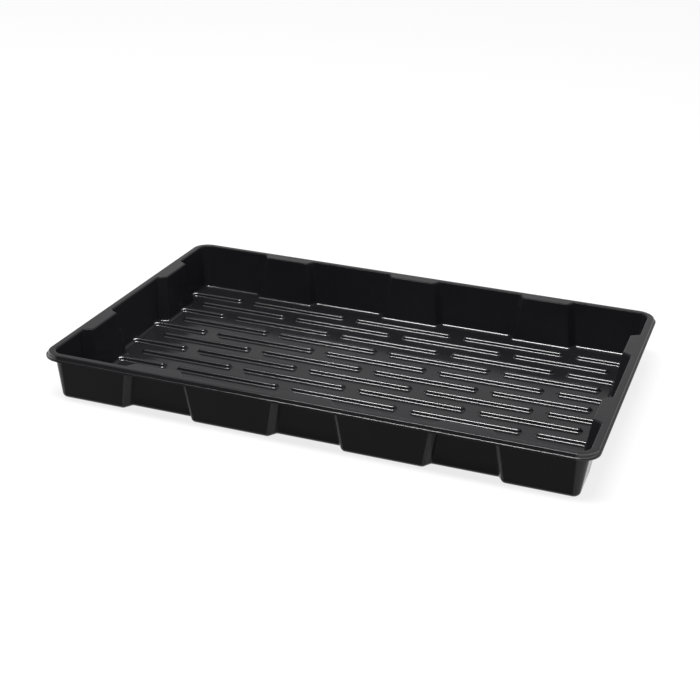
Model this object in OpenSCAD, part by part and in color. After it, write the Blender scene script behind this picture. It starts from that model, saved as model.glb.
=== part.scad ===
// Propagator tray: one black plastic sheet formed into a shallow tray with a hooked rim.
// The real tray is a single moulding. Here each flat, corner and rail of it is its own node,
// and neighbours meet face to face on shared planes.
// Frame: origin on the ground under the middle, X along the long side, Y to the back, Z up, in mm.

/* [Overall size] */
// Length over the lip of the rim
tray_l = 600; // [560:1:660]
// Width over the lip of the rim
tray_w = 400; // [370:1:440]
// Height from the ground to the top of the rim
tray_h = 55.5; // [47:0.5:67]
// Thickness of the sheet
sheet_t = 1.6; // [1.2:0.1:2]

/* [Walls] */
// Distance from the lip's edge in to the foot of the proud panels
foot_in = 16; // [15:0.5:18]
// How far a wall leans outwards on its way from the ground to the rim
wall_run = 7.4; // [5:0.2:9]
// Inside radius of the fillet between floor and wall
foot_r = 4.2; // [4.1:0.1:4.6]
// Outside radius of the tray's corners at the ground
corner_r = 6.8; // [6.8:0.1:9]

/* [Recessed panels] */
// How far a recessed panel stands in behind the proud ones
recess_d = 10; // [7:0.2:10.6]
// Width of a recessed panel at the ground
recess_foot_w = 69; // [62:1:74]
// Width of a recessed panel at the rim
recess_top_w = 51; // [46:1:57]
// Angle of the step between the panels, away from square to the wall
step_slant = 32; // [24:1:40]
// Number of recessed panels in a long wall
long_recesses = 3; // [1:1:3]
// Number of recessed panels in a short wall
short_recesses = 2; // [1:1:2]
// Distance between recessed panels along a long wall
long_pitch = 167.5; // [150:0.5:172]
// Distance between recessed panels along a short wall
short_pitch = 180; // [168:1:190]

/* [Rim] */
// How far the lip stands out from the skirt
lip_out = 2; // [1:0.25:4]
// Drop from the top of the rim to the top of the lip
skirt_drop = 4.5; // [3.5:0.25:7]
// Radius of the rim's edges
edge_r = 1.2; // [0.6:0.1:1.5]

/* [Floor ribs] */
// Height of a rib above the floor
rib_h = 4.1; // [3:0.1:4.1]
// Width of a rib at the floor
rib_w = 10.8; // [9:0.2:13]
// Slope of a rib's sides away from upright
rib_draft = 30; // [20:1:34]
// Distance from one rib to the next along a row
rib_pitch = 138.6; // [132:0.2:142]
// Gap between the ends of two ribs in a row
rib_gap = 13.8; // [10:0.2:20]
// Distance between rows of ribs
row_pitch = 27.3; // [24:0.1:28]
// Number of rows of ribs
rib_rows = 12; // [8:2:12]
// Flat floor left between the last rib of a full row and the foot of the wall
rib_clear = 7.6; // [4:0.2:12]

/* [Hidden] */
$fn = 48;
half_l = tray_l / 2;
half_w = tray_w / 2;
lean = wall_run / tray_h;                  // outward lean of a wall for each mm of height
lean_a = atan(lean);
pan_h = sheet_t + foot_r;                  // height at which the base pan hands over to the wall panels
land_z = tray_h - sheet_t;                 // underside of the rim's flat land
corner_in = foot_in + corner_r;            // distance of a corner's axis from the lip's edge
arc_steps = 5;                             // flats in one foot fillet
edge_steps = 3;                            // flats in one rounded edge of the rim
rib_end = half_l - foot_in - recess_d - sheet_t - foot_r - rib_clear;

// A recess is cut by a V whose ridge leans out more steeply than the wall, so that it narrows upwards.
recess_taper = (recess_foot_w - recess_top_w) / 2 / tray_h;
ridge_a = atan(lean + recess_taper / tan(step_slant));
v_a = atan(tan(step_slant) / cos(ridge_a));
ridge_in = foot_in + recess_d + recess_foot_w / 2 / tan(step_slant);
v_reach = ridge_in + tray_h;               // depth and half length of the V, enough to clear wall and rim

SIDES = ["front", "back", "left", "right"];
CORNERS = ["front_left", "front_right", "back_left", "back_right"];
TRAY_BLACK = [0.10, 0.10, 0.105];

function is_long(side) = side == "front" || side == "back";
function recess_count(side) = is_long(side) ? long_recesses : short_recesses;
function recess_step(side) = is_long(side) ? long_pitch : short_pitch;
function recess_at(side, i) = (i - (recess_count(side) + 1) / 2) * recess_step(side);
function side_half(side) = (is_long(side) ? half_l : half_w) - corner_in;
function side_reach(side) = is_long(side) ? half_w : half_l;
function side_turn(side) = side == "front" ? 0 : side == "back" ? 180 : side == "left" ? -90 : 90;
function corner_turn(corner) =
    corner == "back_right" ? 0 : corner == "back_left" ? 90 : corner == "front_left" ? 180 : 270;

// Sections are lists of [distance in from the lip's edge, height].

// Distance from the lip's edge to a wall face that stands `extra` behind the proud outer face
function face_in(z, extra) = foot_in + extra - lean * z;

// Fillet from the level z0 up into such a face
function foot_arc(extra, z0, r) =
    let (middle = face_in(z0 + r, extra) + r / cos(lean_a))
    [for (i = [0 : arc_steps])
        let (a = 90 - i * (90 - lean_a) / arc_steps)
        [middle - r * cos(a), z0 + r - r * sin(a)]];

// Sheet between an outer and an inner wall face, from the base pan up to the land
function wall_section(outer, inner) = [
    [face_in(pan_h, outer), pan_h],
    [face_in(land_z, outer), land_z],
    [face_in(land_z, inner + sheet_t), land_z],
    [face_in(pan_h, inner + sheet_t), pan_h]
];

// Quarter round of the rim's edge radius about a middle point
function edge_arc(middle, from) =
    [for (i = [0 : edge_steps])
        let (a = from + i * 90 / edge_steps)
        middle + edge_r * [cos(a), sin(a)]];

// Land, skirt and lip of the rim
function rim_section() = concat(
    [[face_in(land_z, sheet_t), land_z]],
    edge_arc([face_in(tray_h, sheet_t) - edge_r, tray_h - edge_r], 0),
    edge_arc([lip_out + edge_r, tray_h - edge_r], 90),
    [
        [lip_out, tray_h - skirt_drop],
        [0, tray_h - skirt_drop],
        [0, tray_h - skirt_drop - sheet_t],
        [lip_out + sheet_t, tray_h - skirt_drop - sheet_t],
        [lip_out + sheet_t, land_z]
    ]
);

// Pad that carries the land inwards over a recessed panel
function pad_section() = concat(
    [[face_in(land_z, recess_d + sheet_t), land_z]],
    edge_arc([face_in(tray_h, recess_d + sheet_t) - edge_r, tray_h - edge_r], 0),
    [[lip_out + 2 * sheet_t, tray_h], [lip_out + 2 * sheet_t, land_z]]
);

// Section across the whole tray below the wall panels: `half` is half its size over the lips
function pan_section(half, extra, z0, r, top) =
    let (arc = foot_arc(extra, z0, r), edge = face_in(top, extra))
    concat(
        [for (p = arc) [p[0] - half, p[1]]],
        [[edge - half, top], [half - edge, top]],
        [for (i = [arc_steps : -1 : 0]) [half - arc[i][0], arc[i][1]]]
    );

// Puts a wall that was drawn in from its lip's edge onto one side of the tray
module on_side(side) {
    rotate([0, 0, side_turn(side)])
        translate([0, -side_reach(side), 0])
            children();
}

// Section drawn along X from one place to another
module along_x(section, from, to) {
    translate([from, 0, 0])
        rotate([90, 0, 90])
            linear_extrude(height = to - from)
                polygon(section);
}

// Section swept round a tray corner, placed on its axis
module round_corner(section) {
    rotate_extrude(angle = 90)
        polygon([for (p = section) [corner_in - p[0], p[1]]]);
}

module at_corner(corner) {
    turn = corner_turn(corner);
    x_side = turn == 0 || turn == 270 ? 1 : -1;
    y_side = turn < 180 ? 1 : -1;
    translate([x_side * (half_l - corner_in), y_side * (half_w - corner_in), 0])
        rotate([0, 0, turn])
            children();
}

// V that parts a recess from its neighbours, widened by `grow` on each side
module recess_v(at, grow) {
    wide = v_reach * tan(v_a);
    translate([at, ridge_in, 0])
        rotate([ridge_a, 0, 0])
            translate([0, grow / sin(v_a), -v_reach])
                linear_extrude(height = 2 * v_reach)
                    polygon([[0, 0], [-wide, -v_reach], [wide, -v_reach]]);
}

module all_recess_vs(grow) {
    for (s = SIDES)
        on_side(s)
            for (i = [1 : recess_count(s)])
                recess_v(recess_at(s, i), grow);
}

// Block with rounded corners that fills the pan out to the proud faces
module proud_block(extra, z0, r, top) {
    x_half = half_l - corner_in;
    y_half = half_w - corner_in;
    along_x(pan_section(half_w, extra, z0, r, top), -x_half, x_half);
    rotate([0, 0, 90])
        along_x(pan_section(half_l, extra, z0, r, top), -y_half, y_half);
    for (c = CORNERS)
        at_corner(c)
            round_corner(concat(
                [[corner_in, z0]],
                foot_arc(extra, z0, r),
                [[face_in(top, extra), top], [corner_in, top]]
            ));
}

// Block that fills the pan out to the recessed faces
module recess_block(extra, z0, r, top) {
    intersection() {
        along_x(pan_section(half_w, extra, z0, r, top), -half_l, half_l);
        rotate([0, 0, 90])
            along_x(pan_section(half_l, extra, z0, r, top), -half_w, half_w);
    }
}

// Everything inside one face of the sheet, from the level of its floor up to `top`
module pan_block(inset, z0, r, top) {
    recess_block(recess_d + inset, z0, r, top);
    difference() {
        proud_block(inset, z0, r, top);
        all_recess_vs(inset);
    }
}

// Half width of a rib at a height; `skin` is what the sheet takes off each side
function rib_half(z, skin) = rib_w / 2 - (z - sheet_t) * tan(rib_draft) - skin;

// Rib with sloping sides and round ends, from one height to another
module rib(x0, x1, y, z0, z1, skin) {
    from = x0 + rib_w / 2;
    to = x1 - rib_w / 2;
    low = rib_half(z0, skin);
    high = rib_half(z1, skin);
    translate([0, y, 0]) {
        along_x([[-low, z0], [low, z0], [high, z1], [-high, z1]], from, to);
        for (end = [[from, 90], [to, -90]])
            translate([end[0], 0, 0])
                rotate([0, 0, end[1]])
                    rotate_extrude(angle = 180)
                        polygon([[0, z0], [low, z0], [high, z1], [0, z1]]);
    }
}

// Rows are counted from the back, and every second one ends in short ribs at the walls
function has_short_ribs(row) = row % 2 == 1;
function row_y(row) = ((rib_rows + 1) / 2 - row) * row_pitch;

// Starts and ends along X of the free ribs in the right half of a row
function free_ribs(row) = has_short_ribs(row)
    ? [[rib_pitch / 2 + rib_gap / 2, 3 * rib_pitch / 2 - rib_gap / 2]]
    : [[rib_gap / 2, rib_pitch - rib_gap / 2], [rib_pitch + rib_gap / 2, rib_end]];

// Ribs that stand clear of the walls
module free_rib_rows(z0, z1, skin) {
    for (row = [1 : rib_rows]) {
        for (r = free_ribs(row)) {
            rib(r[0], r[1], row_y(row), z0, z1, skin);
            rib(-r[1], -r[0], row_y(row), z0, z1, skin);
        }
        if (has_short_ribs(row))
            rib(-(rib_pitch - rib_gap) / 2, (rib_pitch - rib_gap) / 2, row_y(row), z0, z1, skin);
    }
}

// Short ribs that run from the last gap of a row to `to`
module short_ribs(to, z0, z1, skin) {
    from = 3 * rib_pitch / 2 + rib_gap / 2;
    for (row = [1 : rib_rows])
        if (has_short_ribs(row)) {
            rib(from, to, row_y(row), z0, z1, skin);
            rib(-to, -from, row_y(row), z0, z1, skin);
        }
}

// Base pan: floor, hollow ribs and the fillet up into the walls
module base_pan() {
    skin = sheet_t / cos(rib_draft);
    rib_root = sheet_t / 2;
    rib_top = sheet_t + rib_h;
    color(TRAY_BLACK)
        difference() {
            union() {
                difference() {
                    pan_block(0, 0, foot_r + sheet_t, pan_h);
                    pan_block(sheet_t, sheet_t, foot_r, pan_h + sheet_t);
                }
                free_rib_rows(rib_root, rib_top, 0);
                intersection() {
                    short_ribs(half_l, rib_root, rib_top, 0);
                    pan_block(0, 0, foot_r + sheet_t, pan_h);
                }
            }
            free_rib_rows(-sheet_t, rib_h, skin);
            short_ribs(rib_end + rib_clear, -sheet_t, rib_h, skin);
        }
}

// Corner of the tray: wall and rim in one quarter turn
module corner(name) {
    color(TRAY_BLACK)
        at_corner(name) {
            round_corner(wall_section(0, 0));
            round_corner(rim_section());
        }
}

// Rim along one side, with a pad over each recessed panel
module rim(side) {
    half = side_half(side);
    color(TRAY_BLACK)
        on_side(side) {
            along_x(rim_section(), -half, half);
            for (i = [1 : recess_count(side)])
                intersection() {
                    along_x(pad_section(), -half, half);
                    recess_v(recess_at(side, i), sheet_t);
                }
        }
}

// Proud panel: the wall between two recesses, or between a corner and a recess
module proud(side, i) {
    n = recess_count(side);
    from = i == 1 ? -side_half(side) : recess_at(side, i - 1);
    to = i == n + 1 ? side_half(side) : recess_at(side, i);
    color(TRAY_BLACK)
        on_side(side)
            difference() {
                along_x(wall_section(0, 0), from, to);
                for (j = [max(1, i - 1) : min(n, i)])
                    recess_v(recess_at(side, j), sheet_t);
            }
}

// Recessed panel under a pad of the rim
module recess(side, i) {
    at = recess_at(side, i);
    color(TRAY_BLACK)
        on_side(side)
            intersection() {
                along_x(wall_section(recess_d, recess_d), at - recess_foot_w, at + recess_foot_w);
                recess_v(at, 0);
            }
}

// Slanted step that joins a recessed panel to the proud one beside it
module step(side, i) {
    at = recess_at(side, ceil(i / 2));
    from = i % 2 == 1 ? at - recess_foot_w : at;
    color(TRAY_BLACK)
        on_side(side)
            difference() {
                intersection() {
                    along_x(wall_section(0, recess_d), from, from + recess_foot_w);
                    recess_v(at, sheet_t);
                }
                recess_v(at, 0);
            }
}

base_pan();
for (c = CORNERS)
    corner(c);
for (s = SIDES) {
    rim(s);
    for (i = [1 : recess_count(s) + 1])
        proud(s, i);
    for (i = [1 : recess_count(s)])
        recess(s, i);
    for (i = [1 : 2 * recess_count(s)])
        step(s, i);
}
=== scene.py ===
# %% [markdown]
# # A propagator tray
# The tray is one sheet of black plastic, softened by heat and drawn over a mould. Everything that can be
# seen of it is therefore one skin of even thickness: a lip, a short skirt, a flat rim, stepped walls, and a
# floor with raised ribs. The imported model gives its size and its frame. This lesson lays a finer skin over
# that frame, gives it the look of the plastic, and lights it like a product picture.

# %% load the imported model
import math

import bmesh
import bpy
from mathutils import Matrix, Vector


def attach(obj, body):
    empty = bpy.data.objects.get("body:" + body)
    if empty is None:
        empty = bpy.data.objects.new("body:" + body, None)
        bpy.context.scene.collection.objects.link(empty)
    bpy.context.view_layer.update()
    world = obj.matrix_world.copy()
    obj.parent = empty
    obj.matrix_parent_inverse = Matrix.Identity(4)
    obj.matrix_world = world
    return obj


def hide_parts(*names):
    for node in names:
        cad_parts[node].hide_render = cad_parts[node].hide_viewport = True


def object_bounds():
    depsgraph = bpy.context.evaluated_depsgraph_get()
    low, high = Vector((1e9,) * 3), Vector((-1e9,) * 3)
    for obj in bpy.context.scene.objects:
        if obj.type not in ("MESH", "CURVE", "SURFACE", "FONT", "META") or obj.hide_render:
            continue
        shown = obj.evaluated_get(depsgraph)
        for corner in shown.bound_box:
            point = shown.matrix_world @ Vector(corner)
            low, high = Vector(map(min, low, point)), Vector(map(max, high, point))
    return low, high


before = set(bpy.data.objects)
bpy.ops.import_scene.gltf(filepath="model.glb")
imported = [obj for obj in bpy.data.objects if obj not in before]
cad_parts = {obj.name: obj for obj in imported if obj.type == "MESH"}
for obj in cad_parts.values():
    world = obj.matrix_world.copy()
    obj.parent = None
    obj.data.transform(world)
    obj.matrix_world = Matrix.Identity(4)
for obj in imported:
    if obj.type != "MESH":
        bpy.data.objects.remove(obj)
cad_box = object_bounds()
print("nodes in the frame:", len(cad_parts))

# %% [markdown]
# ## Sizes
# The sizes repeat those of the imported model, in millimetres. Heights are above the ground. Distances across
# a wall are measured inwards from the outer edge of the lip, which is the widest part of the tray, so the
# same numbers serve all four sides.

# %% sizes of the tray
MM = 0.001
HALF_L = (cad_box[1].x - cad_box[0].x) / 2 / MM
HALF_W = (cad_box[1].y - cad_box[0].y) / 2 / MM
TRAY_H = (cad_box[1].z - cad_box[0].z) / MM
SHEET_T = 1.6
FOOT_IN = 16.0
WALL_RUN = 7.4
FOOT_R = 4.2
CORNER_R = 6.8
RECESS_D = 10.0
RECESS_FOOT_W = 69.0
RECESS_TOP_W = 51.0
STEP_SLANT = math.radians(32.0)
LIP_OUT = 2.0
SKIRT_DROP = 4.5
LONG_RECESSES = (-167.5, 0.0, 167.5)
SHORT_RECESSES = (-90.0, 90.0)

LEAN = WALL_RUN / TRAY_H
LEAN_A = math.atan(LEAN)
CORNER_IN = FOOT_IN + CORNER_R
TAPER = (RECESS_FOOT_W - RECESS_TOP_W) / 2 / TRAY_H
RIDGE_A = math.atan(LEAN + TAPER / math.tan(STEP_SLANT))
STEP_A = math.atan(math.tan(STEP_SLANT) / math.cos(RIDGE_A))
print("tray", 2 * HALF_L, "by", 2 * HALF_W, "by", TRAY_H, "mm")


# %% [markdown]
# ## The outline of the tray at one height
# Seen from above, each wall zigzags: proud panel, slanted step, recessed panel, slanted step, proud panel.
# The rim above it is straight. A loop of vertices round the tray, always with the same number of stations,
# can stand for either, so the whole skin can be drawn by pulling one loop from section to section. Every
# bend of the outline is a small arc, because a hot sheet never takes a sharp bend. Seen from inside the
# tray, the bend at a proud panel is hollow and the one at a recessed panel is round.

# %% one loop of stations round the tray
BEND_STEPS = 4
CORNER_STEPS = 10
HOLLOW_BEND_R = 3.4
ROUND_BEND_R = 2.4
SMALLEST_BEND_R = 0.3


def face_in(z, behind):
    """Distance from the lip's edge to a wall face that stands behind the proud outer face."""
    return FOOT_IN + behind - LEAN * z


def recess_half(z, across, grow):
    """Half width of a recess at a height and a distance across the wall, widened by grow."""
    half = RECESS_FOOT_W / 2 - TAPER * z + (face_in(z, RECESS_D) - across) * math.tan(STEP_SLANT)
    return half + grow / math.cos(STEP_A)


def bend(before, at, after, radius):
    """Stations on the arc that rounds one bend of the outline."""
    way_in = (at - before).normalized()
    way_out = (after - at).normalized()
    turn = math.atan2(way_in.cross(way_out), way_in.dot(way_out))
    start = at - way_in * radius * math.tan(abs(turn) / 2)
    spoke = Vector((way_in.y, -way_in.x)) * math.copysign(radius, turn)
    middle = start - spoke
    stations = []
    for i in range(BEND_STEPS + 1):
        a = turn * i / BEND_STEPS
        swung = Vector((
            spoke.x * math.cos(a) - spoke.y * math.sin(a),
            spoke.x * math.sin(a) + spoke.y * math.cos(a),
        ))
        stations.append(middle + swung)
    return stations


def recess_stations(middle, z, inset):
    """Stations round one recess, from the proud panel before it to the one after it."""
    proud = face_in(z, SHEET_T) + inset
    recessed = proud + RECESS_D
    near = recess_half(z, recessed, SHEET_T + inset)
    far = recess_half(z, proud, SHEET_T + inset)
    hollow_r = max(HOLLOW_BEND_R - inset, SMALLEST_BEND_R)
    round_r = max(ROUND_BEND_R + inset, SMALLEST_BEND_R)
    along = [-2 * far, -far, -near, near, far, 2 * far]
    across = [proud, proud, recessed, recessed, proud, proud]
    path = [Vector((middle + a, b)) for a, b in zip(along, across)]
    stations = []
    for i, radius in enumerate((hollow_r, round_r, round_r, hollow_r)):
        stations += bend(path[i], path[i + 1], path[i + 2], radius)
    return stations


def corner_stations(half, across):
    """Stations round the corner at the end of a side."""
    radius = CORNER_IN - across
    stations = []
    for i in range(CORNER_STEPS + 1):
        a = math.pi / 2 * i / CORNER_STEPS
        stations.append(Vector((half - CORNER_IN + radius * math.sin(a), CORNER_IN - radius * math.cos(a))))
    return stations


def round_the_tray(z, one_recess, across):
    """Points of a whole loop at height z, anticlockwise from the front wall, in metres."""
    points = []
    for quarter in range(4):
        is_long = quarter % 2 == 0
        half, reach = (HALF_L, HALF_W) if is_long else (HALF_W, HALF_L)
        stations = []
        for middle in LONG_RECESSES if is_long else SHORT_RECESSES:
            stations += one_recess(middle)
        stations += corner_stations(half, across)
        turn = Matrix.Rotation(quarter * math.pi / 2, 3, "Z")
        points += [turn @ Vector((s.x, s.y - reach, z)) * MM for s in stations]
    return points


def stepped(inset, z):
    """A loop that follows proud and recessed panels, offset inwards from the wall's inner face."""
    return round_the_tray(z, lambda middle: recess_stations(middle, z, inset), face_in(z, SHEET_T) + inset)


def straight(across, z):
    """A loop with no recesses, for lip, skirt and rim, with its stations opposite those of the wall."""
    def opposite(middle):
        return [Vector((s.x, across)) for s in recess_stations(middle, TRAY_H, 0.0)]
    return round_the_tray(z, opposite, across)


print("stations in one loop:", len(straight(0.0, TRAY_H)))

# %% [markdown]
# ## The section of the skin
# From outside to inside, the upper face of the sheet runs along the lip, up the skirt, over the rim, down
# the wall and round into the floor. Each bend is about a quarter round of its own radius, drawn in a few
# loops. A loop of lip, skirt or rim is placed by its height and its distance across the wall. A loop of the
# wall or the floor's fillet is placed by its height and by how far it has left the plane of the wall.

# %% sections from lip to floor
ARC_STEPS = 6
LIP_R = 1.2
RIM_OUT_R = 2.0
RIM_IN_R = 1.9


def off_wall(across, z):
    """How far a point of a proud wall's section lies in from the wall's inner face."""
    return across - face_in(z, SHEET_T)


def skin_sections():
    """All loops of the skin, from the lip's edge to the edge of the floor."""
    loops = []
    lip_z = TRAY_H - SKIRT_DROP
    loops.append(straight(0.0, lip_z))
    for i in range(ARC_STEPS + 1):
        a = math.pi / 2 * i / ARC_STEPS
        across, z = LIP_OUT - LIP_R * (1 - math.sin(a)), lip_z + LIP_R * (1 - math.cos(a))
        loops.append(straight(across, z))
    for i in range(ARC_STEPS + 1):
        a = math.pi / 2 * i / ARC_STEPS
        across, z = LIP_OUT + RIM_OUT_R * (1 - math.cos(a)), TRAY_H - RIM_OUT_R * (1 - math.sin(a))
        loops.append(straight(across, z))
    rim_z = TRAY_H - RIM_IN_R
    rim_across = face_in(rim_z, SHEET_T) - RIM_IN_R / math.cos(LEAN_A)
    for i in range(ARC_STEPS + 1):
        a = (math.pi / 2 - LEAN_A) * i / ARC_STEPS
        across, z = rim_across + RIM_IN_R * math.sin(a), rim_z + RIM_IN_R * math.cos(a)
        loops.append(stepped(off_wall(across, z), z))
    foot_z = SHEET_T + FOOT_R
    foot_across = face_in(foot_z, SHEET_T) + FOOT_R / math.cos(LEAN_A)
    for i in range(ARC_STEPS + 1):
        a = LEAN_A + (math.pi / 2 - LEAN_A) * i / ARC_STEPS
        across, z = foot_across - FOOT_R * math.cos(a), foot_z - FOOT_R * math.sin(a)
        loops.append(stepped(off_wall(across, z), z))
    return loops


sections = skin_sections()
print("sections:", len(sections))

# %% [markdown]
# ## Drawing the skin
# The first loop is a ring of vertices. Extruding its edges makes a strip of faces, and moving the new
# vertices to the stations of the next section gives the strip its place. Each vertex carries its station
# number in an integer layer, which extruding copies, so no vertex is ever matched by guesswork.

# %% pull the loop through all sections
def verts_of(geometry):
    """The vertices among what an operator gives back."""
    return [g for g in geometry if isinstance(g, bmesh.types.BMVert)]


def edges_of(geometry):
    """The edges among what an operator gives back."""
    return [g for g in geometry if isinstance(g, bmesh.types.BMEdge)]


skin = bmesh.new()
station = skin.verts.layers.int.new("station")
ring = [skin.verts.new(p) for p in sections[0]]
for i, v in enumerate(ring):
    v[station] = i
edges = [skin.edges.new((v, ring[(i + 1) % len(ring)])) for i, v in enumerate(ring)]
for points in sections[1:]:
    made = bmesh.ops.extrude_edge_only(skin, edges=edges)["geom"]
    edges = edges_of(made)
    for v in verts_of(made):
        v.co = points[v[station]]
print("wall and rim faces:", len(skin.faces))

# %% [markdown]
# ## Ribs on the floor
# Rows of ribs keep pots off the wet floor and stiffen it. They are laid like bricks: one row has four long
# ribs, the next has three and a short one at each end, which runs into the side wall. Half of a rib's
# section has a flared foot, a sloping side and a rounded back. Extruding both halves gives the straight
# part, and spinning one of them gives a round end.

# %% section of a rib
RIB_H = 4.1
RIB_W = 10.8
RIB_DRAFT = math.radians(30.0)
RIB_FOOT_R = 2.3
RIB_TOP_R = 2.7
RIB_PITCH = 138.6
RIB_GAP = 13.8
ROW_PITCH = 27.3
RIB_ROWS = 12
RIB_ARC_STEPS = 6
RIB_END_STEPS = 18
RIB_CLEAR = 7.6
RIB_END = HALF_L - face_in(0, RECESS_D + SHEET_T) - FOOT_R - RIB_CLEAR


def half_rib():
    """Half of a rib's section, from foot to ridge: distances from its middle, and heights over the floor."""
    slope = math.pi / 2 - RIB_DRAFT
    tangent = math.tan(slope / 2)
    points = []
    for i in range(RIB_ARC_STEPS + 1):
        a = slope * i / RIB_ARC_STEPS
        points.append((RIB_W / 2 + RIB_FOOT_R * (tangent - math.sin(a)), RIB_FOOT_R * (1 - math.cos(a))))
    top = RIB_W / 2 - RIB_H * math.tan(RIB_DRAFT)
    for i in range(RIB_ARC_STEPS + 1):
        a = slope * (1 - i / RIB_ARC_STEPS)
        points.append((top - RIB_TOP_R * (tangent - math.sin(a)), RIB_H - RIB_TOP_R * (1 - math.cos(a))))
    points.append((0.0, RIB_H))
    return points


RIB_SECTION = half_rib()
print("points in half a rib's section:", len(RIB_SECTION))


# %% one rib
def half_section(bm, x, y, side):
    """One half of a rib's section at a place along X, as a chain of vertices and edges."""
    verts = [bm.verts.new(Vector((x, y + side * w, SHEET_T + h)) * MM) for w, h in RIB_SECTION]
    return verts + [bm.edges.new(pair) for pair in zip(verts, verts[1:])]


def add_straight(bm, first, last, y):
    """The straight part of a rib."""
    for side in (-1, 1):
        links = edges_of(half_section(bm, first, y, side))
        moved = verts_of(bmesh.ops.extrude_edge_only(bm, edges=links)["geom"])
        bmesh.ops.translate(bm, verts=moved, vec=((last - first) * MM, 0, 0))


def add_round_end(bm, x, y, side):
    """A round end that faces -X where side is 1, and +X where it is -1."""
    half = half_section(bm, x, y, side)
    middle = Vector((x, y, 0)) * MM
    bmesh.ops.spin(bm, geom=half, cent=middle, axis=(0, 0, 1), angle=math.pi, steps=RIB_END_STEPS)


def add_free_rib(bm, start, end, y):
    """A rib with two round ends."""
    first, last = start + RIB_W / 2, end - RIB_W / 2
    add_straight(bm, first, last, y)
    add_round_end(bm, first, y, 1)
    add_round_end(bm, last, y, -1)


print("a whole rib is", round(RIB_PITCH - RIB_GAP, 1), "mm long")

# %% [markdown]
# A short rib spreads where it meets the side wall, in a small round like that of the walls' own feet. Its
# section is extruded in short steps along an arc, the two flanks drawing apart while the ridge goes
# straight on. Past the edge of the floor the wall's own fillet rises, and what would lie below it is tucked
# under its face. A flank with a step of the wall close beside it has no room to spread, and draws in a
# little instead, earlier.

# %% the side wall where a short rib meets it
def wall_foot(z, behind):
    """Distance across to the inner face of a wall, along its fillet where z is low."""
    foot_z = SHEET_T + FOOT_R
    middle = face_in(foot_z, behind + SHEET_T) + FOOT_R / math.cos(LEAN_A)
    drop = min(max(foot_z - z, FOOT_R * math.sin(LEAN_A)), FOOT_R)
    return middle - math.sqrt(FOOT_R ** 2 - drop ** 2)


def fillet_height(across, behind):
    """Height of the fillet's face at a distance across, the other way round."""
    past = min(max(wall_foot(SHEET_T, behind) - across, 0.0), FOOT_R)
    return SHEET_T + FOOT_R - math.sqrt(FOOT_R ** 2 - past ** 2)


def recessed_at(y, z, inset=0.0):
    """How far the side wall, or a loop at an inset from it, lies behind its proud face at y."""
    from_middle = min(abs(y - middle) for middle in SHORT_RECESSES)
    past = from_middle - recess_half(z, face_in(z, RECESS_D + SHEET_T) + inset, SHEET_T + inset)
    return min(max(RECESS_D - past / math.tan(STEP_SLANT), 0.0), RECESS_D)


FLOOR_EDGE = wall_foot(SHEET_T, 0.0)
FLOOR_INSET = FLOOR_EDGE - face_in(SHEET_T, SHEET_T)
print("edge of the floor, in from the lip:", round(FLOOR_EDGE, 2), "mm")

# %% a short rib that runs into the side wall
# The straight part ends FLARE_RUN before the edge of the floor. A flank with room spreads from FLARE_START
# before it, its top by RIDGE_SHARE of what its foot spreads. Hidden parts lie up to TUCK under the faces.
FLARE_R = 7.0
FLARE_TURN = math.radians(50.0)
FLARE_STEPS = 8
FLARE_RUN = 5.6
FLARE_START = 2.6
FLARE_CLEAR = 0.2
RIDGE_SHARE = 0.3
DRAW_IN = -0.9
TUCK = 0.4
ON_RIDGE = 0.002


def spread(verts, y, flank, along, apart):
    """Moves one flank of a rib on by a step, and away from its ridge, its foot most of all."""
    for v in verts:
        height = (v.co.z / MM - SHEET_T) / RIB_H
        share = 1 - (1 - RIDGE_SHARE) * height
        v.co.x += along * MM
        if abs(v.co.y / MM - y) > ON_RIDGE:
            v.co.y += flank * share * apart * MM


def tuck_under(bm, verts):
    """Lifts what lies deep under the wall's fillet to just below its face, and marks what it covers."""
    covered = bm.verts.layers.deform.active
    for v in verts:
        behind = recessed_at(v.co.y / MM, SHEET_T, FLOOR_INSET)
        face = fillet_height(HALF_L - abs(v.co.x) / MM, behind)
        if v.co.z < face * MM:
            v[covered][0] = 1.0
        v.co.z = max(v.co.z, (face - TUCK) * MM)


def flare_moves(start):
    """Moves along the rib and apart: straight on to the start of the arc, then round it."""
    turns = [FLARE_TURN * i / FLARE_STEPS for i in range(FLARE_STEPS + 1)]
    moves = [(FLARE_RUN - start, 0.0)] if start < FLARE_RUN else []
    for a, b in zip(turns, turns[1:]):
        moves.append((FLARE_R * (math.sin(b) - math.sin(a)), FLARE_R * (math.cos(a) - math.cos(b))))
    return moves


def add_flare(bm, last, y, side, flank, has_room):
    """One flank of the flare, from the end of the straight part into the wall. Gives back its foot."""
    links = edges_of(half_section(bm, side * last, y, flank))
    ahead = FLARE_RUN
    widen = 1.0 if has_room else DRAW_IN
    for along, apart in flare_moves(FLARE_START if has_room else FLARE_RUN):
        moved = bmesh.ops.extrude_edge_only(bm, edges=links)["geom"]
        links = edges_of(moved)
        spread(verts_of(moved), y, flank, side * along, widen * apart)
        ahead -= along
        if ahead > FLARE_CLEAR:
            foot = min(verts_of(moved), key=lambda v: v.co.z)
        else:
            tuck_under(bm, verts_of(moved))
    covered = bm.verts.layers.deform.active
    for v in verts_of(bmesh.ops.extrude_edge_only(bm, edges=links)["geom"]):
        v[covered][0] = 1.0
        v.co.z = max(v.co.z, (SHEET_T + TUCK) * MM)
        z = v.co.z / MM
        across = wall_foot(z, recessed_at(v.co.y / MM, z)) - TUCK
        along = max(HALF_L - across - abs(v.co.x) / MM, 0.0)
        spread([v], y, flank, side * along, max(widen, 0.0) * along * math.tan(FLARE_TURN))
    return foot


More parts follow.
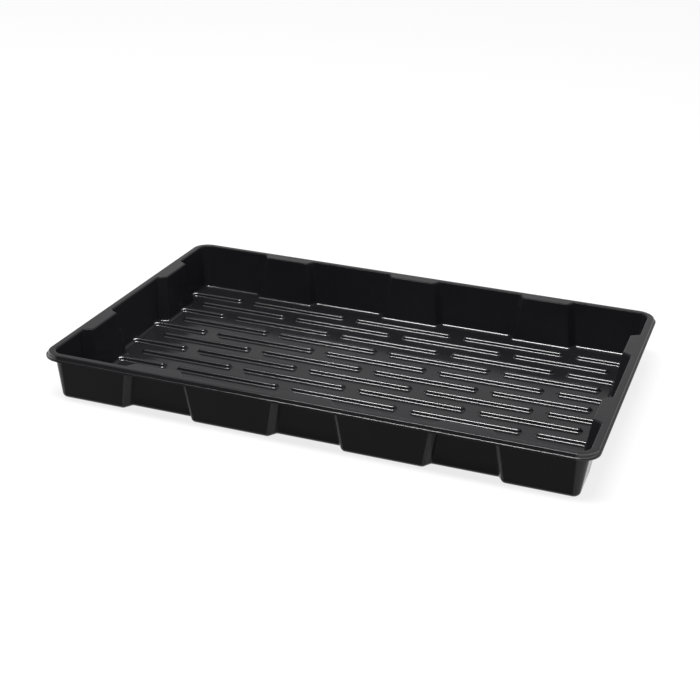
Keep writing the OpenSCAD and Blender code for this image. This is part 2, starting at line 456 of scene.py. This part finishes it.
def add_short_rib(bm, tip, y, side):
    """A rib from its round tip to the wall."""
    first = tip + RIB_W / 2
    behind = recessed_at(y, SHEET_T, FLOOR_INSET)
    last = HALF_L - FLOOR_EDGE - behind - FLARE_RUN
    add_straight(bm, side * first, side * last, y)
    add_round_end(bm, side * first, y, side)
    feet = []
    for flank in (-1, 1):
        beside = recessed_at(y + flank * (RIB_SECTION[0][0] + FLARE_R / 2), SHEET_T, FLOOR_INSET)
        feet.append(add_flare(bm, last, y, side, flank, beside <= behind))
    bm.edges.new(feet)


# %% [markdown]
# The rows start at the back wall. Rows with short ribs and rows without them take turns.

# %% all rows of ribs
RIB_MERGE = 0.02

ribs = bmesh.new()


def place_rib(add_rib, *sizes):
    """Makes one rib by itself, which is quicker than in a large mesh, and puts it with the others."""
    one = bmesh.new()
    one.verts.layers.deform.new("covered")
    add_rib(one, *sizes)
    mesh = bpy.data.meshes.new("rib")
    one.to_mesh(mesh)
    one.free()
    ribs.from_mesh(mesh)
    bpy.data.meshes.remove(mesh)


for row in range(RIB_ROWS):
    y = ((RIB_ROWS - 1) / 2 - row) * ROW_PITCH
    if row % 2 == 0:
        reach = (RIB_PITCH - RIB_GAP) / 2
        spans = [(i * RIB_PITCH - reach, i * RIB_PITCH + reach) for i in (-1, 0, 1)]
        for side in (-1, 1):
            place_rib(add_short_rib, 1.5 * RIB_PITCH + RIB_GAP / 2, y, side)
    else:
        spans = [(RIB_GAP / 2, RIB_PITCH - RIB_GAP / 2), (RIB_PITCH + RIB_GAP / 2, RIB_END)]
        spans += [(-b, -a) for a, b in spans]
    for start, end in spans:
        place_rib(add_free_rib, start, end, y)
bmesh.ops.remove_doubles(ribs, verts=ribs.verts, dist=RIB_MERGE * MM)
print("rib faces:", len(ribs.faces))

# %% [markdown]
# ## Closing the floor
# The floor is flat between the ribs. The ribs join the skin, and the space between the foot of the walls
# and the feet of the ribs is filled in one go: the fill takes the outer loop and every rib's foot as a
# hole.

# %% join ribs and skin, fill the floor
SAME_PLACE = 1e-6

rib_mesh = bpy.data.meshes.new("ribs")
ribs.to_mesh(rib_mesh)
ribs.free()
skin.from_mesh(rib_mesh)
bpy.data.meshes.remove(rib_mesh)
floor_z = SHEET_T * MM
rim_of_floor = [
    e for e in skin.edges
    if len(e.link_faces) < 2 and all(abs(v.co.z - floor_z) < SAME_PLACE for v in e.verts)
]
bmesh.ops.triangle_fill(skin, edges=rim_of_floor, use_beauty=True, normal=(0, 0, 1))
bmesh.ops.remove_doubles(skin, verts=skin.verts, dist=SAME_PLACE)
bmesh.ops.recalc_face_normals(skin, faces=skin.faces)
lowest = min(skin.faces, key=lambda f: f.calc_center_median().z)
if lowest.normal.z < 0:
    bmesh.ops.reverse_faces(skin, faces=skin.faces)
loose = [e for e in skin.edges if len(e.link_faces) == 0]
print("skin faces:", len(skin.faces), "loose edges:", len(loose))

# %% [markdown]
# ## The thickness of the sheet
# The skin so far is the upper face of the sheet. A solidify modifier gives it the even thickness of a
# formed sheet, downwards and outwards. The end of a short rib that lies hidden under the wall's fillet gets
# hardly any, so that it doesn't come out on the other side. A small bevel breaks the cut edge of the lip,
# and weighted normals keep the large panels flat beside their small rounds.

# %% make the tray a piece
COVERED_SHARE = 0.1
LIP_EDGE_W = 0.7
LIP_EDGE_STEPS = 3
LIP_EDGE_ANGLE = math.radians(65.0)
FLAT_WEIGHT = 80


def new_piece(name, bm):
    """Turns a bmesh into an object at the origin, with smooth faces."""
    mesh = bpy.data.meshes.new(name)
    bm.to_mesh(mesh)
    bm.free()
    mesh.shade_smooth()
    piece = bpy.data.objects.new(name, mesh)
    bpy.context.scene.collection.objects.link(piece)
    return piece


tray = new_piece("tray_skin", skin)
thickness = tray.modifiers.new("sheet", "SOLIDIFY")
thickness.thickness = SHEET_T * MM
thickness.offset = -1.0
thickness.use_even_offset = True
thickness.vertex_group = tray.vertex_groups.new(name="covered").name
thickness.invert_vertex_group = True
thickness.thickness_vertex_group = COVERED_SHARE
lip_edges = tray.modifiers.new("lip_edges", "BEVEL")
lip_edges.width = LIP_EDGE_W * MM
lip_edges.segments = LIP_EDGE_STEPS
lip_edges.limit_method = "ANGLE"
lip_edges.angle_limit = LIP_EDGE_ANGLE
flat_faces = tray.modifiers.new("flat_faces", "WEIGHTED_NORMAL")
flat_faces.weight = FLAT_WEIGHT
flat_faces.keep_sharp = False
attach(tray, "root")
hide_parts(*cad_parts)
print("tray mesh:", len(tray.data.polygons), "faces")

# %% [markdown]
# ## The plastic
# Recycled polystyrene sheet: deep black, with a satin face that mirrors light at a low angle. Close up it
# has a fine grain, and the sheet is never quite flat, so reflections waver a little. The wavering and the
# grain are bumps, and the colour and roughness drift with soft noise. The helpers below each add one kind
# of node.


# %% helpers for nodes
def noise_node(tree, place, scale, detail):
    """Soft noise over a place."""
    node = tree.nodes.new("ShaderNodeTexNoise")
    node.inputs["Scale"].default_value = scale
    node.inputs["Detail"].default_value = detail
    tree.links.new(place, node.inputs["Vector"])
    return node.outputs["Fac"]


def ramp_node(tree, value, low, high, at):
    """Takes a value from low to high between two marks, and holds it beyond them."""
    node = tree.nodes.new("ShaderNodeMapRange")
    node.inputs["From Min"].default_value, node.inputs["From Max"].default_value = at
    node.inputs["To Min"].default_value, node.inputs["To Max"].default_value = low, high
    tree.links.new(value, node.inputs["Value"])
    return node.outputs["Result"]


def math_node(tree, operation, *values):
    """Arithmetic on sockets."""
    node = tree.nodes.new("ShaderNodeMath")
    node.operation = operation
    for socket, value in zip(node.inputs, values):
        tree.links.new(value, socket)
    return node.outputs[0]


def vector_node(tree, operation, *values):
    """Arithmetic on vectors."""
    node = tree.nodes.new("ShaderNodeVectorMath")
    node.operation = operation
    for socket, value in zip(node.inputs, values):
        tree.links.new(value, socket)
    return node.outputs["Value" if operation == "DOT_PRODUCT" else "Vector"]


def split_node(tree, vector):
    """The three parts of a vector."""
    node = tree.nodes.new("ShaderNodeSeparateXYZ")
    tree.links.new(vector, node.inputs["Vector"])
    return node.outputs


def mix_node(tree, factor, second):
    """A mix of two colours: the second is given, the first is left open."""
    node = tree.nodes.new("ShaderNodeMix")
    node.data_type = "RGBA"
    node.inputs["B"].default_value = second
    tree.links.new(factor, node.inputs["Factor"])
    return node


def bump_node(tree, height, strength, distance):
    """A bump from a height."""
    node = tree.nodes.new("ShaderNodeBump")
    node.inputs["Strength"].default_value = strength
    node.inputs["Distance"].default_value = distance
    tree.links.new(height, node.inputs["Height"])
    return node


# %% [markdown]
# Outside, the steps between the panels catch more light from the sides than the panels do, and that light is
# painted into the colour: the black turns a little grey, from the bend at the proud panel to over half way
# into the recess. The steps are found as steep faces that look along neither axis, on the side of the sheet
# that looks away from the middle. The round corners of the tray are found with them, though they are hardly
# paler on the real one.

# %% painted light on the outer steps
# PALE_DEPTH is in millimetres behind the proud outer face. The other two spans have no unit.
FAR = 100.0
OUTWARD = (0.02, 0.08)
PALE_FROM = (0.04, 0.20)
PALE_DEPTH = (5.8, 7.2)


def outside_mask(tree, place, normal):
    """1 on the side of the sheet that looks away from the middle of the tray, 0 on the other."""
    size = tree.nodes.new("ShaderNodeCombineXYZ")
    size.inputs["X"].default_value = HALF_L * MM
    size.inputs["Y"].default_value = HALF_W * MM
    size.inputs["Z"].default_value = FAR
    reach = vector_node(tree, "DIVIDE", place, size.outputs["Vector"])
    # The seventh power keeps its sign, and is small except near the walls. FAR leaves the height out of it.
    squared = vector_node(tree, "MULTIPLY", reach, reach)
    fourth = vector_node(tree, "MULTIPLY", squared, squared)
    seventh = vector_node(tree, "MULTIPLY", vector_node(tree, "MULTIPLY", fourth, squared), reach)
    return ramp_node(tree, vector_node(tree, "DOT_PRODUCT", seventh, normal), 0.0, 1.0, at=OUTWARD)


def depth_across(tree, place):
    """Distance in from the lip's edge with the wall's lean taken out: FOOT_IN on a proud outer face."""
    parts = split_node(tree, place)
    across = []
    for axis, half in (("X", HALF_L * MM), ("Y", HALF_W * MM)):
        from_middle = math_node(tree, "ABSOLUTE", parts[axis])
        across.append(ramp_node(tree, from_middle, half, 0.0, at=(0.0, half)))
    lean = ramp_node(tree, parts["Z"], 0.0, WALL_RUN * MM, at=(0.0, TRAY_H * MM))
    return math_node(tree, "ADD", math_node(tree, "MINIMUM", *across), lean)


def painted_step_light_mask(tree, place, normal, outside):
    """Where light is painted on: 1 on steep faces outside that look along neither axis, 0 elsewhere and deep
    in the recess.
    """
    parts = split_node(tree, normal)
    askew = math_node(tree, "ABSOLUTE", math_node(tree, "MULTIPLY", parts["X"], parts["Y"]))
    oblique = ramp_node(tree, askew, 0.0, 1.0, at=PALE_FROM)
    fades_at = [(FOOT_IN + d) * MM for d in PALE_DEPTH]
    shallow = ramp_node(tree, depth_across(tree, place), 1.0, 0.0, at=fades_at)
    return math_node(tree, "MULTIPLY", math_node(tree, "MULTIPLY", outside, oblique), shallow)


# %% [markdown]
# The bends of ribs and feet, low in the tray, are polished by the pots that are pushed in and out over
# them, the rim and the lip by hands, and the outer foot by the shelf. The bends are found by their slope,
# neither level nor steep, and shine where they look to the front or the back. The polish is a clear coat
# over the same black.

# %% where the sheet is polished
LOOKS_ACROSS = (0.30, 0.45)
LOOKS_UP = (0.55, 0.70)
LOOKS_DOWN = (-0.6, -0.2)
LOW_Z = (14.0, 16.0)
LIP_Z = (49.0, 50.0)
RIM_Z = (52.4, 53.0)
RIM_POLISH = 0.25
FOOT_POLISH = 0.3


def polish_mask(tree, place, normal, outside):
    """How far rubbing has polished the bends that look to the front or back, and the foot outside."""
    parts = split_node(tree, normal)
    height = split_node(tree, place)["Z"]
    low = ramp_node(tree, height, 1.0, 0.0, at=[z * MM for z in LOW_Z])
    lip = ramp_node(tree, height, 0.0, 1.0, at=[z * MM for z in LIP_Z])
    rim = ramp_node(tree, height, 1.0, RIM_POLISH, at=[z * MM for z in RIM_Z])
    rail = math_node(tree, "MULTIPLY", math_node(tree, "MULTIPLY", lip, rim), outside)
    across = ramp_node(tree, math_node(tree, "ABSOLUTE", parts["Y"]), 0.0, 1.0, at=LOOKS_ACROSS)
    upward = math_node(tree, "MULTIPLY", across, ramp_node(tree, parts["Z"], 0.0, 1.0, at=LOOKS_UP))
    bends = math_node(tree, "MULTIPLY", upward, math_node(tree, "MAXIMUM", low, rail))
    downward = ramp_node(tree, parts["Z"], FOOT_POLISH, 0.0, at=LOOKS_DOWN)
    foot = math_node(tree, "MULTIPLY", math_node(tree, "MULTIPLY", downward, outside), low)
    return math_node(tree, "MAXIMUM", bends, foot)


# %% black plastic
BLACK = (0.0112, 0.0107, 0.0123, 1)
FADED_BLACK = (0.0147, 0.0142, 0.0159, 1)
# Painted light: the grey that the outer steps take for the light from the sides that they catch.
PAINTED_STEP_LIGHT = (0.096, 0.094, 0.094, 1)
SATIN_ROUGHNESS = (0.13, 0.19)
SATIN_IOR = 1.18
POLISHED_ROUGHNESS = 0.18
POLISHED_IOR = 1.8
WAVE_STRENGTH = 0.03
WAVE_DEPTH = 2.0
GRAIN_STRENGTH = 0.10
GRAIN_DEPTH = 0.2
# Each noise has a scale and a detail, and most of its values lie in NOISE_SPAN.
DRIFT_NOISE = (9.0, 3.0)
SMEAR_NOISE = (30.0, 4.0)
WAVE_NOISE = (14.0, 1.0)
GRAIN_NOISE = (1400.0, 2.0)
NOISE_SPAN = (0.35, 0.65)


def make_plastic():
    """The material of the tray."""
    material = bpy.data.materials.new("tray_plastic")
    material.use_nodes = True
    tree = material.node_tree
    shader = tree.nodes["Principled BSDF"]
    place = tree.nodes.new("ShaderNodeTexCoord").outputs["Object"]
    normal = tree.nodes.new("ShaderNodeNewGeometry").outputs["Normal"]
    outside = outside_mask(tree, place, normal)

    drift = ramp_node(tree, noise_node(tree, place, *DRIFT_NOISE), 0.0, 1.0, at=NOISE_SPAN)
    black = mix_node(tree, drift, FADED_BLACK)
    black.inputs["A"].default_value = BLACK
    # Painted light: the outer steps turn grey where they catch light from the sides.
    lit_steps_paint = mix_node(tree, painted_step_light_mask(tree, place, normal, outside), PAINTED_STEP_LIGHT)
    tree.links.new(black.outputs["Result"], lit_steps_paint.inputs["A"])
    tree.links.new(lit_steps_paint.outputs["Result"], shader.inputs["Base Color"])

    smear = ramp_node(tree, noise_node(tree, place, *SMEAR_NOISE), *SATIN_ROUGHNESS, at=NOISE_SPAN)
    tree.links.new(smear, shader.inputs["Roughness"])
    shader.inputs["IOR"].default_value = SATIN_IOR
    tree.links.new(polish_mask(tree, place, normal, outside), shader.inputs["Coat Weight"])
    shader.inputs["Coat Roughness"].default_value = POLISHED_ROUGHNESS
    shader.inputs["Coat IOR"].default_value = POLISHED_IOR

    waver = bump_node(tree, noise_node(tree, place, *WAVE_NOISE), WAVE_STRENGTH, WAVE_DEPTH * MM)
    pits = bump_node(tree, noise_node(tree, place, *GRAIN_NOISE), GRAIN_STRENGTH, GRAIN_DEPTH * MM)
    tree.links.new(waver.outputs["Normal"], pits.inputs["Normal"])
    tree.links.new(pits.outputs["Normal"], shader.inputs["Normal"])
    return material


tray.data.materials.append(make_plastic())
print("nodes in the plastic:", len(tray.data.materials[0].node_tree.nodes))

# %% [markdown]
# ## Floor and surroundings
# A product picture on white. The floor looks white to the camera and in mirrored light, but it scatters
# little itself, so it keeps the tray's shadow and hardly lights the tray from below.

# %% white floor
FLOOR_HALF = 30.0
FLOOR_DROP = 0.3
FLOOR_GREY = (0.2, 0.2, 0.2, 1)
FLOOR_GLOW = 0.80

floor_bm = bmesh.new()
bmesh.ops.create_grid(floor_bm, x_segments=1, y_segments=1, size=FLOOR_HALF)
bmesh.ops.translate(floor_bm, verts=floor_bm.verts, vec=(0, 0, -FLOOR_DROP * MM))
floor = new_piece("studio_floor", floor_bm)


def seen_directly(tree):
    """1 for rays from the camera and for mirrored or refracted ones, 0 for light that is scattered."""
    path = tree.nodes.new("ShaderNodeLightPath").outputs
    either = math_node(tree, "MAXIMUM", path["Is Camera Ray"], path["Is Glossy Ray"])
    return math_node(tree, "MAXIMUM", either, path["Is Transmission Ray"])


floor_look = bpy.data.materials.new("studio_floor")
floor_look.use_nodes = True
tree = floor_look.node_tree
paint = tree.nodes["Principled BSDF"]
paint.inputs["Base Color"].default_value = FLOOR_GREY
paint.inputs["Roughness"].default_value = 1.0
paint.inputs["Specular IOR Level"].default_value = 0.0
paint.inputs["Emission Color"].default_value = (1, 1, 1, 1)
glow = ramp_node(tree, seen_directly(tree), 0.0, FLOOR_GLOW, at=(0.0, 1.0))
tree.links.new(glow, paint.inputs["Emission Strength"])
floor.data.materials.append(floor_look)
print("floor:", 2 * FLOOR_HALF, "m wide")

# %% [markdown]
# Behind the tray stands a white sweep, which the floor of the tray mirrors towards the camera. The room in
# front is dim, so the walls stay dark. A weak window on the right and a narrow, low one on the left
# brighten the steps of the outer walls.

# %% white surroundings
ROOM = 0.08
SWEEP = 0.93
RIGHT_WINDOW = 0.35
LEFT_WINDOW = 2.0
# Spans of the parts of a direction, in which each of them rises or fades.
SWEEP_Y = (-0.5, 0.6)
RIGHT_X = (0.5, 0.9)
LEFT_X = (-0.95, -0.75)
LOW_DOWN_Z = (0.3, 0.6)

world = bpy.data.worlds.new("white_studio")
bpy.context.scene.world = world
world.use_nodes = True
tree = world.node_tree
sky = tree.nodes["Background"]
sky.inputs["Color"].default_value = (1, 1, 1, 1)
way = split_node(tree, tree.nodes.new("ShaderNodeTexCoord").outputs["Generated"])
from_back = ramp_node(tree, way["Y"], ROOM, SWEEP, at=SWEEP_Y)
from_right = ramp_node(tree, way["X"], 0.0, RIGHT_WINDOW, at=RIGHT_X)
from_left = ramp_node(tree, way["X"], LEFT_WINDOW, 0.0, at=LEFT_X)
low_down = ramp_node(tree, way["Z"], 1.0, 0.0, at=LOW_DOWN_Z)
from_sides = math_node(tree, "ADD", from_right, math_node(tree, "MULTIPLY", from_left, low_down))
tree.links.new(math_node(tree, "ADD", from_back, from_sides), sky.inputs["Strength"])
print("nodes in the surroundings:", len(tree.nodes))

# %% [markdown]
# ## Lamp and camera
# One long lamp hangs overhead, a little to the left and to the front, and draws the bright lines along the
# polished ribs. On a level face it gives the light at which a colour looks about as it is written.

# %% lamp overhead
LAMP_PLACE = (-0.245, -0.90, 3.0)
LAMP_SIZE = (1.75, 0.60)
LAMP_RADIANCE = 28.0


def area_lamp(name, place, size, radiance):
    """A flat lamp turned to the tray, long in X, with the brightness its face has."""
    lamp = bpy.data.lights.new(name, "AREA")
    lamp.shape = "RECTANGLE"
    lamp.size, lamp.size_y = size
    lamp.energy = radiance * math.pi * size[0] * size[1]
    holder = bpy.data.objects.new(name, lamp)
    tilt = math.atan2(place[1], place[2])
    holder.matrix_world = Matrix.Translation(place) @ Matrix.Rotation(-tilt, 4, "X")
    bpy.context.scene.collection.objects.link(holder)
    return holder


overhead = area_lamp("overhead_lamp", LAMP_PLACE, LAMP_SIZE, LAMP_RADIANCE)
print("lamp:", round(overhead.data.energy, 1), "W")

# %% [markdown]
# The camera stands where the photograph was taken from: in front of the tray, a little to the right and
# above. Place, direction and lens were fitted to the rim, the feet of the walls, the recesses and the ribs.

# %% camera
AZIMUTH = math.radians(18.808)
ELEVATION = math.radians(23.565)
ROLL = math.radians(2.121)
DISTANCE = 1.57003
LENS = 70.961
SENSOR_W = 36.0

aim = Vector((-0.01746, 0.00049, 0.030))
back = Vector((
    math.sin(AZIMUTH) * math.cos(ELEVATION),
    -math.cos(AZIMUTH) * math.cos(ELEVATION),
    math.sin(ELEVATION),
))
lens = bpy.data.cameras.new("camera")
lens.lens = LENS
lens.sensor_width = SENSOR_W
camera = bpy.data.objects.new("camera", lens)
bpy.context.scene.collection.objects.link(camera)
level = (-back).to_track_quat("-Z", "Y").to_matrix().to_4x4()
camera.matrix_world = Matrix.Translation(aim + back * DISTANCE) @ level @ Matrix.Rotation(ROLL, 4, "Z")
bpy.context.scene.camera = camera
bpy.context.scene.view_settings.view_transform = "Standard"
print("camera at", [round(c, 3) for c in camera.matrix_world.translation])
